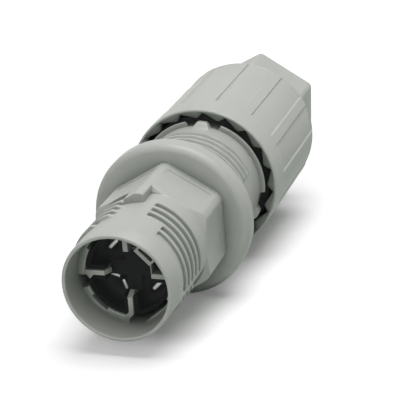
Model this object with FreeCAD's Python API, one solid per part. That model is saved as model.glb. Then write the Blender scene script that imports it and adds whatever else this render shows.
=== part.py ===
# Round panel feed-through connector, plug side, with a screw-on cable nut.
# Axis along Y: the mating face looks to -Y, the cable leaves at +Y, +Z is up.
# The origin is on the axis, in the flange's rear face, where the panel lies.
import FreeCAD
import Part
import math
import os

V = FreeCAD.Vector
AXIS = V(0, -1, 0)
ORIGIN = V(0, 0, 0)

# Driving dimensions, in millimetres and degrees. Stations run along the axis from the panel face.

# collar
COLLAR_LENGTH = 23.7
SOCKET_RADIUS = 7.5
RIM_WALL = 0.5
COLLAR_WALL = 1.0
LEAD_IN_LENGTH = 2.2
RIM_CHAMFER = 0.15

# quick-lock grooves in the collar
LOCK_SECTORS = 3
LOCK_FIRST_CENTRE = 29.0
LOCK_SPAN = 87.0
LOCK_LATE_START = 19.0
GROOVE_COUNT = 4
GROOVE_PITCH = 1.67
GROOVE_WIDTH = 0.95
GROOVE_DEPTH = 0.5
GROOVE_FLARE = 0.2
FIRST_GROOVE = 6.4
RUN_IN_LENGTH = 1.9
RUN_IN_DEPTH = 0.2
RUN_IN_STATION = 3.3

# coding walls inside the collar
FRAME_RECESS = 4.75
FRAME_DEPTH = 9.0
FRAME_WALL = 0.75
FRAME_WALL_END = 3.5
FRAME_RING = 1.1
NOTCH_DEPTH = 0.47
NOTCH_SPAN = 24.8
SIDE_SLOT_WIDTH = 1.9
SIDE_SLOT_OFFSET = 1.4
SLANT_SLOT_WIDTH = 1.3
SLANT_SLOT_OFFSET = 5.27
PIP_STATION = 5.75
PIP_WIDTH = 1.1
PIP_HEIGHT = 0.65
KEY_WALL_DISTANCE = 3.46
KEY_WALL_THICKNESS = 0.7
KEY_WALL_LENGTH = 3.13
KEY_WALL_OFFSET = -0.235
KEY_SIDE_THICKNESS = 0.35
KEY_WEB = 0.25
KEY_WEB_SETBACK = 0.1
WALL_TIP_REACH = 0.65
WALL_TIP_SLOPE = 1.45

# hexagon, stop lug and flange
HEX_LENGTH = 8.9
HEX_CORNER_TRIM = 0.15
HEX_CHAMFER = 0.85
FIELD_WIDTH = 7.7
FIELD_LENGTH = 2.7
FIELD_DEPTH = 0.15
FIELD_MARGIN = 1.75
LUG_LENGTH = 3.4
LUG_START = 84.7
LUG_END = 119.0
FLANGE_WIDTH = 2.25
FLANGE_THICKNESS = 3.1
FLANGE_FRONT_ROUNDING = 1.1
FLANGE_REAR_CHAMFER = 0.4

# panel thread, rear band, ledge, ramped stops and sleeve
THREAD_RADIUS = 10.0
THREAD_LENGTH = 9.2
THREAD_PITCH = 1.5
THREAD_START = 1.2
THREAD_DEPTH = 0.65
THREAD_ROOT = 0.2
THREAD_FLANK = 30.0
THREAD_FLAT_DEPTH = 0.7
BAND_STEP = 0.5
BAND_LENGTH = 3.4
LEDGE_HEIGHT = 0.75
LEDGE_LENGTH = 0.9
LEDGE_ARCS = ((-8.0, 70.0), (100.5, 190.0), (232.0, 310.0))
STOP_CENTRES = (86.0, 211.0, 331.0)
STOP_RAMP = 0.7
STOP_LEAD = 0.9
STOP_BASE = 2.75
STOP_TIP = 1.4
SLEEVE_STEP = 0.2
SLEEVE_WALL = 1.0

# seals on the housing
PANEL_SEAL_SECTION = 1.4
PANEL_SEAL_PROUD = 0.35
PANEL_SEAL_SIDES = 12
SLEEVE_SEAL_LENGTH = 1.4
SLEEVE_SEAL_CHAMFER = 0.4

# contact carrier
CARRIER_RECESS = 0.35
CARRIER_CENTRE_RECESS = 2.4
CARRIER_WALL = 0.55
POCKET_DEPTH = 8.2
CARRIER_FOOT_LENGTH = 2.4

# contacts
CONTACT_ANGLES = {"line": 135.0, "earth": 225.0, "neutral": 315.0}
CONTACT_RADIUS = 4.3
BLADE_WIDTH = 2.8
BLADE_THICKNESS = 0.6
BLADE_TIP_DEPTH = 5.0
BLADE_TIP_TAPER = 0.5
EARTH_BEND = 30.0
EARTH_WEB = 0.7
FORK_WIDTH = 4.6
FORK_SLOT = 0.9
FORK_SLOT_LENGTH = 5.5
FORK_POINT = 0.8

# cable nut
NUT_FRONT_GAP = 0.1
NUT_WALL = 0.9
NUT_BARREL_LENGTH = 24.1
NUT_RIM_ROUNDING = 0.45
NUT_SHOULDER_LENGTH = 4.0
NUT_HEX_FLATS = 18.0
NUT_HEX_LENGTH = 7.5
NUT_HEX_ANGLE = 27.5
NUT_HEX_CHAMFER = 0.4
NUT_PANELS = 12
NUT_PANEL_SPAN = 22.0
NUT_PANEL_DEPTH = 0.22
NUT_PANEL_STATION = 5.0
NUT_PANEL_LENGTH = 19.1
TOOTH_COUNT = 19
TOOTH_DEPTH = 0.6
TOOTH_LENGTH = 1.6
TOOTH_ANGLE = -7.4
TOOTH_RAMP = 0.62
TOOTH_LAND = 0.14
CABLE_HOLE_RADIUS = 5.6
CABLE_HOLE_LENGTH = 4.4
NUT_CONE_LENGTH = 6.2
NUT_CONE_END_STEP = 0.8
NUT_TRAVEL = 4.0
NUT_ENGAGEMENT = 2.5

# pieces inside the nut
SPLICE_LENGTH = 10.6
SPLICE_COLLAR_LENGTH = 1.7
SPLICE_BORE = 2.4
WIRE_SLOT_WIDTH = 2.6
WIRE_SLOT_LENGTH = 3.0
WIRE_SLOT_STATION = 1.6
CABLE_SEAL_LENGTH = 5.0
CABLE_SEAL_BORE = 4.5
CABLE_SEAL_CHAMFER = 0.8
CAGE_RING_LENGTH = 1.8
CAGE_FINGERS = 8
CAGE_SLOT = 1.1
CAGE_BORE = 4.7

# clearances
FIT_CLEARANCE = 0.15
RUNNING_CLEARANCE = 0.3
TOOTH_CLEARANCE = 0.25
THREAD_CLEARANCE = 0.1
SEAT_GAP = 0.05
STACK_GAP = 0.1

# reach of cutting shapes past the faces that they cut
OVERCUT = 1.0
THREAD_OVERCUT = 0.1
FAR = 60.0

# Radii that follow
RIM_RADIUS = SOCKET_RADIUS + RIM_WALL
COLLAR_RADIUS = SOCKET_RADIUS + COLLAR_WALL
HEX_FLATS = 2 * COLLAR_RADIUS
FRAME_BORE = SOCKET_RADIUS - FRAME_RING
NOTCH_RADIUS = FRAME_BORE + NOTCH_DEPTH
CARRIER_RADIUS = FRAME_BORE - FIT_CLEARANCE
FLANGE_RADIUS = THREAD_RADIUS + FLANGE_WIDTH
BAND_RADIUS = THREAD_RADIUS - BAND_STEP
LEDGE_RADIUS = BAND_RADIUS + LEDGE_HEIGHT
SLEEVE_RADIUS = BAND_RADIUS - SLEEVE_STEP
SLEEVE_BORE = SLEEVE_RADIUS - SLEEVE_WALL
TOOTH_TIP_RADIUS = LEDGE_RADIUS + TOOTH_CLEARANCE
TOOTH_ROOT_RADIUS = TOOTH_TIP_RADIUS + TOOTH_DEPTH
NUT_RADIUS = TOOTH_ROOT_RADIUS + NUT_WALL
NUT_BORE = SLEEVE_RADIUS + THREAD_CLEARANCE
NUT_CONE_END_RADIUS = CABLE_HOLE_RADIUS + NUT_CONE_END_STEP
STACK_RADIUS = NUT_BORE - RUNNING_CLEARANCE

# Stations that follow, from the mating rim to the cable end
FLANGE_FRONT = -FLANGE_THICKNESS
RIM = FLANGE_FRONT - COLLAR_LENGTH
HEX_FRONT = FLANGE_FRONT - HEX_LENGTH
FRAME_FRONT = RIM + FRAME_RECESS
FRAME_REAR = FRAME_FRONT + FRAME_DEPTH
BLADE_TIP = FRAME_FRONT + BLADE_TIP_DEPTH
POCKET_FLOOR = FRAME_FRONT + POCKET_DEPTH
BAND_END = THREAD_LENGTH + BAND_LENGTH
LEDGE_END = BAND_END + LEDGE_LENGTH
CARRIER_SEAT = BAND_END - CARRIER_FOOT_LENGTH
FORK_BASE = BAND_END + SEAT_GAP
NUT_STATION = LEDGE_END + NUT_FRONT_GAP
NUT_BARREL_END = NUT_STATION + NUT_BARREL_LENGTH
NUT_HEX_FRONT = NUT_BARREL_END + NUT_SHOULDER_LENGTH
NUT_END = NUT_HEX_FRONT + NUT_HEX_LENGTH
NUT_CONE_END = NUT_END - CABLE_HOLE_LENGTH
NUT_CONE_FRONT = NUT_CONE_END - NUT_CONE_LENGTH
CAGE_RING_END = NUT_CONE_FRONT - STACK_GAP
CAGE_STATION = CAGE_RING_END - CAGE_RING_LENGTH
CABLE_SEAL_END = CAGE_STATION - STACK_GAP
CABLE_SEAL_STATION = CABLE_SEAL_END - CABLE_SEAL_LENGTH
SPLICE_END = CABLE_SEAL_STATION - STACK_GAP
SPLICE_STATION = SPLICE_END - SPLICE_LENGTH
SPLICE_COLLAR_FRONT = SPLICE_END - SPLICE_COLLAR_LENGTH
FORK_END = SPLICE_STATION - RUNNING_CLEARANCE
SLEEVE_END = SPLICE_COLLAR_FRONT - NUT_TRAVEL - RUNNING_CLEARANCE
CAVITY_END = SLEEVE_END - NUT_ENGAGEMENT
SLEEVE_SEAL_STATION = NUT_STATION + TOOTH_LENGTH + RUNNING_CLEARANCE


def profile_face(corners):
    """Face in the radius and station plane from (radius, station, rounding) corners."""
    points = [V(r, y, 0) for r, y, _ in corners]
    edges = []
    joints = []
    count = len(corners)
    for i in range(count):
        rounding = corners[i][2]
        here = points[i]
        if rounding <= 0:
            joints.append((here, here, None))
            continue
        back = (points[i - 1] - here).normalize()
        ahead = (points[(i + 1) % count] - here).normalize()
        half = back.getAngle(ahead) / 2
        reach = rounding / math.tan(half)
        inward = (back + ahead).normalize()
        middle = here + inward * (rounding / math.sin(half) - rounding)
        joints.append((here + back * reach, here + ahead * reach, middle))
    for i in range(count):
        start, end, middle = joints[i]
        if middle is not None:
            edges.append(Part.Arc(start, middle, end).toShape())
        following = joints[(i + 1) % count][0]
        if end.distanceToPoint(following) > 1e-6:
            edges.append(Part.LineSegment(end, following).toShape())
    return Part.Face(Part.Wire(edges))


def turned(corners, start=0.0, span=360.0):
    """Solid of revolution about the axis; angles run from +X towards +Z."""
    solid = profile_face(corners).revolve(ORIGIN, AXIS, span)
    solid.rotate(ORIGIN, AXIS, start)
    return solid


def ring(inner, outer, low, high, start=0.0, span=360.0):
    """Plain ring, or a sector of one."""
    return turned(((inner, low, 0), (outer, low, 0), (outer, high, 0), (inner, high, 0)), start, span)


def rod(radius, low, high):
    """Cylinder on the axis."""
    return Part.makeCylinder(radius, high - low, V(0, low, 0), V(0, 1, 0))


def hexagon(flats, low, high, corner_angle):
    """Hexagonal prism on the axis."""
    radius = flats / math.sqrt(3)
    angles = [math.radians(corner_angle + 60 * i) for i in range(7)]
    points = [V(radius * math.cos(a), low, radius * math.sin(a)) for a in angles]
    return Part.Face(Part.makePolygon(points)).extrude(V(0, high - low, 0))


def prism(points, low, high):
    """Straight prism along the axis from (x, z) points."""
    corners = [V(x, low, z) for x, z in points]
    return Part.Face(Part.makePolygon(corners + corners[:1])).extrude(V(0, high - low, 0))


def block(x0, x1, low, high, z0, z1, angle=0.0):
    """Box between limits, turned about the axis."""
    solid = Part.makeBox(x1 - x0, high - low, z1 - z0, V(x0, low, z0))
    solid.rotate(ORIGIN, AXIS, angle)
    return solid


def lock_grooves():
    """Cutters for the interrupted grooves: the foremost one and its run-in start later."""
    cutters = []
    bottom = COLLAR_RADIUS - GROOVE_DEPTH
    top = COLLAR_RADIUS + GROOVE_DEPTH
    flare = GROOVE_FLARE * (top - bottom) / GROOVE_DEPTH
    for sector in range(LOCK_SECTORS):
        start = LOCK_FIRST_CENTRE - LOCK_SPAN / 2 + sector * 360.0 / LOCK_SECTORS
        for groove in range(GROOVE_COUNT):
            span = LOCK_SPAN - (LOCK_LATE_START if groove == 0 else 0.0)
            middle = RIM + FIRST_GROOVE + groove * GROOVE_PITCH
            low = middle - GROOVE_WIDTH / 2
            high = middle + GROOVE_WIDTH / 2
            section = (
                (bottom, low + GROOVE_FLARE, 0),
                (top, low + GROOVE_FLARE - flare, 0),
                (top, high - GROOVE_FLARE + flare, 0),
                (bottom, high - GROOVE_FLARE, 0),
            )
            cutters.append(turned(section, start, span))
        low = RIM + RUN_IN_STATION
        cutters.append(ring(COLLAR_RADIUS - RUN_IN_DEPTH, top, low, low + RUN_IN_LENGTH,
                            start, LOCK_SPAN - LOCK_LATE_START))
    return cutters


def radial_wall(angle, tip_reach):
    """Coding wall between the ring and the centre; a tip at its inner end slopes back towards the carrier."""
    outline = [
        V(FRAME_WALL_END, FRAME_FRONT, -FRAME_WALL / 2),
        V(SOCKET_RADIUS, FRAME_FRONT, -FRAME_WALL / 2),
        V(SOCKET_RADIUS, FRAME_REAR, -FRAME_WALL / 2),
        V(FRAME_WALL_END, FRAME_REAR, -FRAME_WALL / 2),
    ]
    if tip_reach > 0:
        tip = FRAME_WALL_END - tip_reach
        tip_end = FRAME_FRONT + CARRIER_CENTRE_RECESS - SEAT_GAP
        outline.append(V(FRAME_WALL_END, tip_end, -FRAME_WALL / 2))
        outline.append(V(tip, tip_end, -FRAME_WALL / 2))
        outline.append(V(tip, FRAME_FRONT + WALL_TIP_SLOPE, -FRAME_WALL / 2))
    wall = Part.Face(Part.makePolygon(outline + outline[:1])).extrude(V(0, 0, FRAME_WALL))
    wall.rotate(ORIGIN, AXIS, angle)
    return wall


def coding_frame():
    """Coding walls: a notched ring, four radial walls, a pip, a key cell and a wall along a slant slot."""
    frame = ring(FRAME_BORE, SOCKET_RADIUS + SEAT_GAP, FRAME_FRONT, FRAME_REAR)
    front = FRAME_FRONT - OVERCUT
    cutters = []
    for quarter in range(4):
        start = 45.0 + 90.0 * quarter - NOTCH_SPAN / 2
        cutters.append(ring(FRAME_BORE - OVERCUT, NOTCH_RADIUS, front, FRAME_REAR, start, NOTCH_SPAN))
    side_low = -SIDE_SLOT_OFFSET - SIDE_SLOT_WIDTH / 2
    cutters.append(block(-FAR, 0, front, FRAME_REAR, side_low, side_low + SIDE_SLOT_WIDTH))
    frame = frame.cut(cutters)
    walls = [radial_wall(0.0, 0.0), radial_wall(90.0, 0.0)]
    walls += [radial_wall(180.0, WALL_TIP_REACH), radial_wall(270.0, WALL_TIP_REACH)]
    half = FRAME_WALL / 2
    pip = (
        (-PIP_STATION - PIP_WIDTH / 2, 0),
        (-PIP_STATION - PIP_WIDTH / 2, -half),
        (-PIP_STATION, -half - PIP_HEIGHT),
        (-PIP_STATION + PIP_WIDTH / 2, -half),
        (-PIP_STATION + PIP_WIDTH / 2, 0),
    )
    walls.append(prism(pip, FRAME_FRONT, FRAME_REAR))
    near = KEY_WALL_DISTANCE
    far = near + KEY_WALL_THICKNESS
    low = -KEY_WALL_OFFSET - KEY_WALL_LENGTH / 2
    high = low + KEY_WALL_LENGTH
    walls.append(block(near, far, FRAME_FRONT, FRAME_REAR, low, high, 45.0))
    for side in (low, high - KEY_SIDE_THICKNESS):
        walls.append(block(near, SOCKET_RADIUS, FRAME_FRONT, FRAME_REAR,
                           side, side + KEY_SIDE_THICKNESS, 45.0))
    web = FRAME_WALL_END - KEY_WEB_SETBACK
    web_end = near * math.sqrt(2) - web + KEY_WEB
    walls.append(block(web, web + KEY_WEB, FRAME_FRONT, FRAME_REAR, 0, web_end))
    walls.append(block(0, web_end, FRAME_FRONT, FRAME_REAR, web, web + KEY_WEB))
    slant_low = -SLANT_SLOT_OFFSET - SLANT_SLOT_WIDTH / 2
    slant_high = slant_low + SLANT_SLOT_WIDTH
    slant_wall = block(-SOCKET_RADIUS, slant_high + half, FRAME_FRONT, FRAME_REAR,
                       slant_high, slant_high + FRAME_WALL, 45.0)
    walls.append(slant_wall.common(rod(SOCKET_RADIUS, FRAME_FRONT, FRAME_REAR)))
    slant_slot = block(-FAR, 0, front, FRAME_REAR, slant_low, slant_high, 45.0)
    return frame.fuse(walls).cut(slant_slot)


def ramped_stops():
    """Trapezoid stops in the gaps of the ledge, level with it behind and ramped down in front."""
    low = BAND_END - STOP_LEAD
    ramp = turned((
        (SLEEVE_BORE, low, 0),
        (BAND_RADIUS, low, 0),
        (LEDGE_RADIUS, low + STOP_RAMP, 0),
        (LEDGE_RADIUS, LEDGE_END, 0),
        (SLEEVE_BORE, LEDGE_END, 0),
    ))
    outline = (
        (SLEEVE_BORE, -STOP_BASE / 2),
        (BAND_RADIUS, -STOP_BASE / 2),
        (LEDGE_RADIUS, -STOP_TIP / 2),
        (LEDGE_RADIUS, STOP_TIP / 2),
        (BAND_RADIUS, STOP_BASE / 2),
        (SLEEVE_BORE, STOP_BASE / 2),
    )
    stops = []
    for angle in STOP_CENTRES:
        stop = prism(outline, low, LEDGE_END)
        stop.rotate(ORIGIN, AXIS, angle)
        stops.append(stop.common(ramp))
    return stops


def housing_hexagon():
    """Wrench hexagon with trimmed corners and a coned front, and the stop lug on one corner."""
    trim = HEX_FLATS / math.sqrt(3) - HEX_CORNER_TRIM
    end = FLANGE_FRONT + SEAT_GAP
    envelope = turned((
        (0, HEX_FRONT, 0),
        (HEX_FLATS / 2, HEX_FRONT, 0),
        (trim, HEX_FRONT + HEX_CHAMFER, 0),
        (trim, end, 0),
        (0, end, 0),
    ))
    body = hexagon(HEX_FLATS, HEX_FRONT, end, 90.0).common(envelope)
    lug_front = HEX_FRONT - LUG_LENGTH
    lug_end = HEX_FRONT + HEX_CHAMFER + SEAT_GAP
    sector = ring(COLLAR_RADIUS - GROOVE_DEPTH, trim, lug_front, lug_end, LUG_START, LUG_END - LUG_START)
    lug = hexagon(HEX_FLATS, lug_front, lug_end, 90.0).common(sector)
    return [body, lug]


def hexagon_fields():
    """Cutters for the shallow fields in the flats, which deepen towards the flange."""
    flat = HEX_FLATS / 2
    rear = FLANGE_FRONT - FIELD_MARGIN
    front = rear - FIELD_LENGTH
    outline = [
        V(flat, front, -FIELD_WIDTH / 2),
        V(flat - FIELD_DEPTH, rear, -FIELD_WIDTH / 2),
        V(flat + OVERCUT, rear, -FIELD_WIDTH / 2),
        V(flat + OVERCUT, front, -FIELD_WIDTH / 2),
    ]
    fields = []
    for side in range(6):
        field = Part.Face(Part.makePolygon(outline + outline[:1])).extrude(V(0, 0, FIELD_WIDTH))
        field.rotate(ORIGIN, AXIS, 60.0 * side)
        fields.append(field)
    return fields


def panel_thread():
    """Threaded length with two flats; the helical groove starts and ends in a flat."""
    turns = math.floor((THREAD_LENGTH - THREAD_START) / THREAD_PITCH)
    path = Part.makeHelix(THREAD_PITCH, turns * THREAD_PITCH, THREAD_RADIUS)
    slope = math.tan(math.radians(THREAD_FLANK))
    bottom = THREAD_ROOT / 2
    top = bottom + (THREAD_DEPTH + THREAD_OVERCUT) * slope
    inner = THREAD_RADIUS - THREAD_DEPTH
    outer = THREAD_RADIUS + THREAD_OVERCUT
    section = Part.makePolygon([
        V(inner, 0, -bottom),
        V(outer, 0, -top),
        V(outer, 0, top),
        V(inner, 0, bottom),
        V(inner, 0, -bottom),
    ])
    groove = Part.Wire(path).makePipeShell([section], True, True)
    groove.rotate(ORIGIN, V(1, 0, 0), -90.0)
    groove.translate(V(0, THREAD_START, 0))
    flats = THREAD_RADIUS - THREAD_FLAT_DEPTH
    thread = rod(THREAD_RADIUS, -SEAT_GAP, THREAD_LENGTH).cut(groove)
    return thread.common(block(-flats, flats, -SEAT_GAP, THREAD_LENGTH, -FAR, FAR))


def panel_seal_seat():
    """Inner and outer radius and depth of the O-ring groove in the flange."""
    inner = THREAD_RADIUS + FIT_CLEARANCE
    outer = inner + PANEL_SEAL_SECTION + FIT_CLEARANCE
    return inner, outer, PANEL_SEAL_SECTION - PANEL_SEAL_PROUD


def make_housing():
    collar_and_flange = turned((
        (0, RIM, 0),
        (RIM_RADIUS - RIM_CHAMFER, RIM, 0),
        (RIM_RADIUS, RIM + RIM_CHAMFER, 0),
        (COLLAR_RADIUS, RIM + LEAD_IN_LENGTH, 0),
        (COLLAR_RADIUS, FLANGE_FRONT, 0),
        (FLANGE_RADIUS, FLANGE_FRONT, FLANGE_FRONT_ROUNDING),
        (FLANGE_RADIUS, -FLANGE_REAR_CHAMFER, 0),
        (FLANGE_RADIUS - FLANGE_REAR_CHAMFER, 0, 0),
        (0, 0, 0),
    ))
    band = rod(BAND_RADIUS, THREAD_LENGTH - SEAT_GAP, BAND_END)
    sleeve = rod(SLEEVE_RADIUS, BAND_END - SEAT_GAP, SLEEVE_END)
    ledges = []
    for start, end in LEDGE_ARCS:
        ledges.append(ring(SLEEVE_BORE, LEDGE_RADIUS, BAND_END - SEAT_GAP, LEDGE_END, start, end - start))
    additions = housing_hexagon() + [panel_thread(), band, sleeve] + ledges + ramped_stops()
    body = collar_and_flange.fuse(additions)
    seal_inner, seal_outer, seal_depth = panel_seal_seat()
    cutters = lock_grooves() + hexagon_fields()
    cutters.append(ring(seal_inner, seal_outer, -seal_depth, OVERCUT))
    cutters.append(rod(SOCKET_RADIUS, RIM - OVERCUT, FRAME_REAR))
    cutters.append(rod(FRAME_BORE, FRAME_FRONT, CARRIER_SEAT))
    cutters.append(rod(SLEEVE_BORE, CARRIER_SEAT, SLEEVE_END + OVERCUT))
    return body.cut(cutters).fuse(coding_frame()).removeSplitter()


def make_panel_seal():
    inner, outer, depth = panel_seal_seat()
    radius = PANEL_SEAL_SECTION / 2
    section = []
    for side in range(PANEL_SEAL_SIDES):
        angle = 2 * math.pi * side / PANEL_SEAL_SIDES
        station = radius - depth + radius * math.sin(angle)
        section.append(((inner + outer) / 2 + radius * math.cos(angle), station, 0))
    return turned(section)


def make_sleeve_seal():
    outer = TOOTH_ROOT_RADIUS - RUNNING_CLEARANCE
    high = SLEEVE_SEAL_STATION + SLEEVE_SEAL_LENGTH
    return turned((
        (SLEEVE_RADIUS, SLEEVE_SEAL_STATION, 0),
        (outer - SLEEVE_SEAL_CHAMFER, SLEEVE_SEAL_STATION, 0),
        (outer, SLEEVE_SEAL_STATION + SLEEVE_SEAL_CHAMFER, 0),
        (outer, high - SLEEVE_SEAL_CHAMFER, 0),
        (outer - SLEEVE_SEAL_CHAMFER, high, 0),
        (SLEEVE_RADIUS, high, 0),
    ))


def make_carrier():
    """Insert with three contact chambers, slotted for the coding walls, with a foot that seats behind."""
    front = FRAME_FRONT + CARRIER_RECESS
    start = front - OVERCUT
    slot = FRAME_WALL / 2 + FIT_CLEARANCE
    slot_end = FRAME_REAR + FIT_CLEARANCE
    wall_end = FRAME_WALL_END - KEY_WEB_SETBACK - FIT_CLEARANCE
    pocket_edge = slot + CARRIER_WALL
    pocket_radius = CARRIER_RADIUS - CARRIER_WALL
    foot_radius = SLEEVE_BORE - FIT_CLEARANCE
    body = rod(CARRIER_RADIUS, front, BAND_END).fuse(rod(foot_radius, CARRIER_SEAT, BAND_END))
    cutters = [rod(FRAME_WALL_END, start, FRAME_FRONT + CARRIER_CENTRE_RECESS)]
    for quarter in range(4):
        cutters.append(block(wall_end, FAR, start, slot_end, -slot, slot, 90.0 * quarter))
    key_cell = block(KEY_WALL_DISTANCE - FIT_CLEARANCE, FAR, start, slot_end, -FAR, FAR, 45.0)
    cutters.append(key_cell.common(block(0, FAR, start, slot_end, 0, FAR)))
    cutters.append(block(wall_end, FAR, start, slot_end, 0, FAR))
    cutters.append(block(0, FAR, start, slot_end, wall_end, FAR))
    slant_end = -SLANT_SLOT_OFFSET + SLANT_SLOT_WIDTH / 2 + FRAME_WALL
    cutters.append(block(-FAR, slant_end, start, slot_end, -FAR, slant_end + FIT_CLEARANCE, 45.0))
    pip_half = PIP_WIDTH / 2 + FIT_CLEARANCE
    pip_low = -FRAME_WALL / 2 - PIP_HEIGHT - FIT_CLEARANCE
    cutters.append(block(-PIP_STATION - pip_half, -PIP_STATION + pip_half, start, slot_end, pip_low, 0))
    near = CONTACT_RADIUS - BLADE_THICKNESS / 2 - SEAT_GAP
    far = CONTACT_RADIUS + BLADE_THICKNESS / 2 + SEAT_GAP
    half = BLADE_WIDTH / 2 + SEAT_GAP
    for angle in CONTACT_ANGLES.values():
        chamber = block(pocket_edge, FAR, start, POCKET_FLOOR, pocket_edge, FAR, angle - 45.0)
        cutters.append(chamber.common(rod(pocket_radius, start, POCKET_FLOOR)))
        cutters.append(block(near, far, POCKET_FLOOR - OVERCUT, BAND_END + OVERCUT, -half, half, angle))
    return body.cut(cutters)


def make_flat_contact(name):
    """Stamped strip: tapered blade in front, forked wire end behind."""
    half = BLADE_WIDTH / 2
    fork = FORK_WIDTH / 2
    slot = FORK_SLOT / 2
    right_side = (
        (half - BLADE_TIP_TAPER, BLADE_TIP),
        (half, BLADE_TIP + BLADE_TIP_TAPER),
        (half, FORK_BASE),
        (fork, FORK_BASE),
        (fork, FORK_END - FORK_POINT),
        (fork - FORK_POINT, FORK_END),
        (slot + FORK_POINT / 2, FORK_END),
        (slot, FORK_END - FORK_POINT),
        (slot, FORK_END - FORK_SLOT_LENGTH),
    )
    outline = list(right_side) + [(-z, y) for z, y in reversed(right_side)]
    near = CONTACT_RADIUS - BLADE_THICKNESS / 2
    points = [V(near, y, z) for z, y in outline]
    strip = Part.Face(Part.makePolygon(points + points[:1])).extrude(V(BLADE_THICKNESS, 0, 0))
    strip.rotate(ORIGIN, AXIS, CONTACT_ANGLES[name])
    return strip


def make_earth_contact():
    """The same strip with a web and two wings, bent outwards, in place of the blade."""
    angle = CONTACT_ANGLES["earth"]
    wing_end = POCKET_FLOOR - FIT_CLEARANCE
    strip = make_flat_contact("earth").cut(block(0, FAR, BLADE_TIP - OVERCUT, wing_end, -FAR, FAR, angle))
    wing = (BLADE_WIDTH - EARTH_WEB) / 2
    rise = wing * math.sin(math.radians(EARTH_BEND))
    web = EARTH_WEB / 2
    half = web + wing * math.cos(math.radians(EARTH_BEND))
    inner = CONTACT_RADIUS - rise - BLADE_THICKNESS / 2
    outer = inner + BLADE_THICKNESS
    section = (
        (inner, -web),
        (inner, web),
        (inner + rise, half),
        (outer + rise, half),
        (outer, web),
        (outer, -web),
        (outer + rise, -half),
        (inner + rise, -half),
    )
    bent = prism(section, BLADE_TIP, wing_end)
    bent.rotate(ORIGIN, AXIS, angle)
    return bent.fuse(strip).removeSplitter()


def make_splice_ring():
    """Wire guide: fork slots in front, wire slots across them, collar behind."""
    body = rod(SLEEVE_BORE - RUNNING_CLEARANCE, SPLICE_STATION, SPLICE_END)
    body = body.fuse(rod(STACK_RADIUS, SPLICE_COLLAR_FRONT, SPLICE_END))
    cutters = [rod(SPLICE_BORE, SPLICE_STATION - OVERCUT, SPLICE_END + OVERCUT)]
    near = CONTACT_RADIUS - BLADE_THICKNESS / 2 - RUNNING_CLEARANCE
    far = CONTACT_RADIUS + BLADE_THICKNESS / 2 + RUNNING_CLEARANCE
    half = FORK_WIDTH / 2 + RUNNING_CLEARANCE
    slot_end = SPLICE_STATION + NUT_TRAVEL + RUNNING_CLEARANCE
    wire = WIRE_SLOT_WIDTH / 2
    wire_low = SPLICE_STATION + WIRE_SLOT_STATION
    for angle in CONTACT_ANGLES.values():
        cutters.append(block(near, far, SPLICE_STATION - OVERCUT, slot_end, -half, half, angle))
        cutters.append(block(0, FAR, wire_low, wire_low + WIRE_SLOT_LENGTH, -wire, wire, angle))
    return body.cut(cutters)


def make_cable_seal():
    chamfer = CABLE_SEAL_CHAMFER
    return turned((
        (CABLE_SEAL_BORE, CABLE_SEAL_STATION + chamfer, 0),
        (CABLE_SEAL_BORE + chamfer, CABLE_SEAL_STATION, 0),
        (STACK_RADIUS - chamfer, CABLE_SEAL_STATION, 0),
        (STACK_RADIUS, CABLE_SEAL_STATION + chamfer, 0),
        (STACK_RADIUS, CABLE_SEAL_END - chamfer, 0),
        (STACK_RADIUS - chamfer, CABLE_SEAL_END, 0),
        (CABLE_SEAL_BORE + chamfer, CABLE_SEAL_END, 0),
        (CABLE_SEAL_BORE, CABLE_SEAL_END - chamfer, 0),
    ))


def make_clamp_cage():
    """Ring with tapered fingers that the nut's cone presses on the cable."""
    tip = NUT_CONE_END - RUNNING_CLEARANCE
    cage = turned((
        (CAGE_BORE, CAGE_STATION, 0),
        (STACK_RADIUS, CAGE_STATION, 0),
        (STACK_RADIUS, CAGE_RING_END, 0),
        (NUT_CONE_END_RADIUS - RUNNING_CLEARANCE, tip, 0),
        (CAGE_BORE, tip, 0),
    ))
    slots = []
    for finger in range(CAGE_FINGERS):
        slots.append(block(0, FAR, CAGE_RING_END, tip + OVERCUT, -CAGE_SLOT / 2, CAGE_SLOT / 2,
                           360.0 * finger / CAGE_FINGERS))
    return cage.cut(slots)


def ratchet_mouth():
    """Saw-toothed opening of the nut: a steep step out, a ramp in and a short land on each tooth."""
    pitch = 360.0 / TOOTH_COUNT
    points = []
    for tooth in range(TOOTH_COUNT):
        root = TOOTH_ANGLE - pitch * tooth
        for radius, turn in ((TOOTH_ROOT_RADIUS, 0.0), (TOOTH_TIP_RADIUS, TOOTH_RAMP),
                             (TOOTH_TIP_RADIUS, TOOTH_RAMP + TOOTH_LAND)):
            angle = math.radians(root - pitch * turn)
            points.append((radius * math.cos(angle), radius * math.sin(angle)))
    return prism(points, NUT_STATION - OVERCUT, NUT_STATION + TOOTH_LENGTH)


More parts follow.
